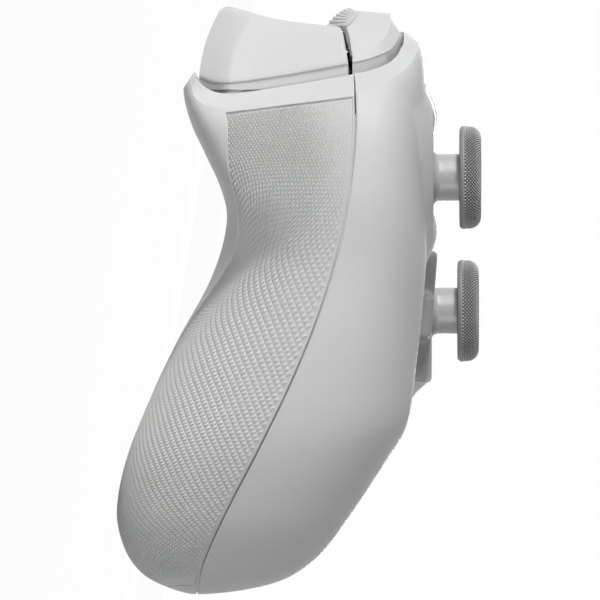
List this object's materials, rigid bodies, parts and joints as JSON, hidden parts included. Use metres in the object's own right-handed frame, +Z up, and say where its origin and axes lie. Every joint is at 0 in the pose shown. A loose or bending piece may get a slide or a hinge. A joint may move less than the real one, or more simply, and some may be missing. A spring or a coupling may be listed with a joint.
{
  "type": "gamepad controller",
  "caption": "Two-handed gamepad with split shells, knurled thumbsticks, a cross pad, face buttons, bumpers and triggers on real pivots.",
  "frame": {"origin": "middle of the footprint on the surface that the controller lies on, grips and front rim down", "axes": "+X to the right hand, +Y forward towards the triggers, +Z up out of the face"},
  "size_m": [0.152, 0.1061, 0.0589],
  "materials": {
    "shell": "fine satin",
    "button": "smooth",
    "pad": "satin",
    "neck": "satin",
    "cap": "knurled edge",
    "black_plastic": "satin",
    "steel": "plain",
    "board": "lacquered",
    "battery": "plain"
  },
  "bodies": {
    "body": {"front_shell": "shell", "back_shell": "shell", "inner_frame": "black_plastic", "main_board": "board", "battery_pack": "battery", "cable_inlet": "steel", "headset_jack": "black_plastic", "shell_screws": "steel", "frame_screws": "steel", "board_screws": "steel", "button_switches": "black_plastic", "home_halo": "black_plastic", "pad_housing": "black_plastic", "left_stick_housing": "steel", "right_stick_housing": "steel", "left_trigger_pin": "steel", "left_trigger_spring": "steel", "right_trigger_pin": "steel", "right_trigger_spring": "steel", "left_motor": "steel", "right_motor": "steel"},
    "home_button_body": {"home_button": "button"},
    "view_button_body": {"view_button": "button"},
    "menu_button_body": {"menu_button": "button"},
    "share_button_body": {"share_button": "button"},
    "button_north_body": {"button_north": "button"},
    "button_south_body": {"button_south": "button"},
    "button_east_body": {"button_east": "button"},
    "button_west_body": {"button_west": "button"},
    "pad_rocker_body": {"pad_rocker": "black_plastic"},
    "pad_cross_body": {"pad_cross": "pad"},
    "left_stick_ring_body": {"left_stick_ring": "black_plastic"},
    "left_stick_block_body": {"left_stick_block": "black_plastic", "left_stick_spring": "steel"},
    "left_stick_top_body": {"left_stick_stem": "steel", "left_stick_neck": "neck", "left_stick_cap": "cap"},
    "right_stick_ring_body": {"right_stick_ring": "black_plastic"},
    "right_stick_block_body": {"right_stick_block": "black_plastic", "right_stick_spring": "steel"},
    "right_stick_top_body": {"right_stick_stem": "steel", "right_stick_neck": "neck", "right_stick_cap": "cap"},
    "left_trigger_body": {"left_trigger": "shell"},
    "left_bumper_body": {"left_bumper": "shell"},
    "left_weight_body": {"left_motor_weight": "steel"},
    "right_trigger_body": {"right_trigger": "shell"},
    "right_bumper_body": {"right_bumper": "shell"},
    "right_weight_body": {"right_motor_weight": "steel"}
  },
  "joints": [
    {"name": "home_button_press", "type": "slide", "parent": "body", "child": "home_button_body", "axis": [0, -0.154, -0.9881], "range_m": [0, 0.0007], "stiffness_N_per_m": 800},
    {"name": "view_button_press", "type": "slide", "parent": "body", "child": "view_button_body", "axis": [0, -0.154, -0.9881], "range_m": [0, 0.0007], "stiffness_N_per_m": 800},
    {"name": "menu_button_press", "type": "slide", "parent": "body", "child": "menu_button_body", "axis": [0, -0.154, -0.9881], "range_m": [0, 0.0007], "stiffness_N_per_m": 800},
    {"name": "share_button_press", "type": "slide", "parent": "body", "child": "share_button_body", "axis": [0, -0.154, -0.9881], "range_m": [0, 0.0007], "stiffness_N_per_m": 800},
    {"name": "button_north_press", "type": "slide", "parent": "body", "child": "button_north_body", "axis": [0, -0.154, -0.9881], "range_m": [0, 0.0011], "stiffness_N_per_m": 600},
    {"name": "button_south_press", "type": "slide", "parent": "body", "child": "button_south_body", "axis": [0, -0.154, -0.9881], "range_m": [0, 0.0011], "stiffness_N_per_m": 600},
    {"name": "button_east_press", "type": "slide", "parent": "body", "child": "button_east_body", "axis": [0, -0.154, -0.9881], "range_m": [0, 0.0011], "stiffness_N_per_m": 600},
    {"name": "button_west_press", "type": "slide", "parent": "body", "child": "button_west_body", "axis": [0, -0.154, -0.9881], "range_m": [0, 0.0011], "stiffness_N_per_m": 600},
    {"name": "pad_side_rock", "type": "hinge", "parent": "body", "child": "pad_rocker_body", "pos_m": [-0.02, -0.00053, 0.03843], "axis": [0, 0.9881, -0.154], "range_deg": [-4, 4], "stiffness_Nm_per_rad": 0.14},
    {"name": "pad_fore_rock", "type": "hinge", "parent": "pad_rocker_body", "child": "pad_cross_body", "pos_m": [-0.02, -0.00053, 0.03843], "axis": [1, 0, 0], "range_deg": [-4, 4], "stiffness_Nm_per_rad": 0.14},
    {"name": "left_stick_side_tilt", "type": "hinge", "parent": "body", "child": "left_stick_ring_body", "pos_m": [-0.04, 0.02368, 0.03466], "axis": [0, 0.9881, -0.154], "range_deg": [-16, 16], "stiffness_Nm_per_rad": 0.07},
    {"name": "left_stick_fore_tilt", "type": "hinge", "parent": "left_stick_ring_body", "child": "left_stick_block_body", "pos_m": [-0.04, 0.02368, 0.03466], "axis": [1, 0, 0], "range_deg": [-16, 16], "stiffness_Nm_per_rad": 0.07},
    {"name": "left_stick_click", "type": "slide", "parent": "left_stick_block_body", "child": "left_stick_top_body", "axis": [0, -0.154, -0.9881], "range_m": [0, 0.0006], "stiffness_N_per_m": 5000},
    {"name": "right_stick_side_tilt", "type": "hinge", "parent": "body", "child": "right_stick_ring_body", "pos_m": [0.02, 0.00056, 0.03826], "axis": [0, 0.9881, -0.154], "range_deg": [-16, 16], "stiffness_Nm_per_rad": 0.07},
    {"name": "right_stick_fore_tilt", "type": "hinge", "parent": "right_stick_ring_body", "child": "right_stick_block_body", "pos_m": [0.02, 0.00056, 0.03826], "axis": [1, 0, 0], "range_deg": [-16, 16], "stiffness_Nm_per_rad": 0.07},
    {"name": "right_stick_click", "type": "slide", "parent": "right_stick_block_body", "child": "right_stick_top_body", "axis": [0, -0.154, -0.9881], "range_m": [0, 0.0006], "stiffness_N_per_m": 5000},
    {"name": "left_trigger_pull", "type": "hinge", "parent": "body", "child": "left_trigger_body", "pos_m": [-0.04, 0.03876, 0.03079], "axis": [-1, 0, 0], "range_deg": [0, 15], "stiffness_Nm_per_rad": 0.12, "springref_deg": -5.73},
    {"name": "left_bumper_press", "type": "hinge", "parent": "body", "child": "left_bumper_body", "pos_m": [-0.0165, 0.0431, 0.03264], "axis": [0, 0.154, 0.9881], "range_deg": [0, 2.5], "stiffness_Nm_per_rad": 1.2},
    {"name": "left_motor_spin", "type": "hinge", "parent": "body", "child": "left_weight_body", "pos_m": [-0.056, -0.02368, 0.01977], "axis": [0, 0.9881, -0.154], "continuous": true},
    {"name": "right_trigger_pull", "type": "hinge", "parent": "body", "child": "right_trigger_body", "pos_m": [0.04, 0.03876, 0.03079], "axis": [-1, 0, 0], "range_deg": [0, 15], "stiffness_Nm_per_rad": 0.12, "springref_deg": -5.73},
    {"name": "right_bumper_press", "type": "hinge", "parent": "body", "child": "right_bumper_body", "pos_m": [0.0165, 0.0431, 0.03264], "axis": [0, -0.154, -0.9881], "range_deg": [0, 2.5], "stiffness_Nm_per_rad": 1.2},
    {"name": "right_motor_spin", "type": "hinge", "parent": "body", "child": "right_weight_body", "pos_m": [0.056, -0.02368, 0.01977], "axis": [0, 0.9881, -0.154], "continuous": true}
  ]
}
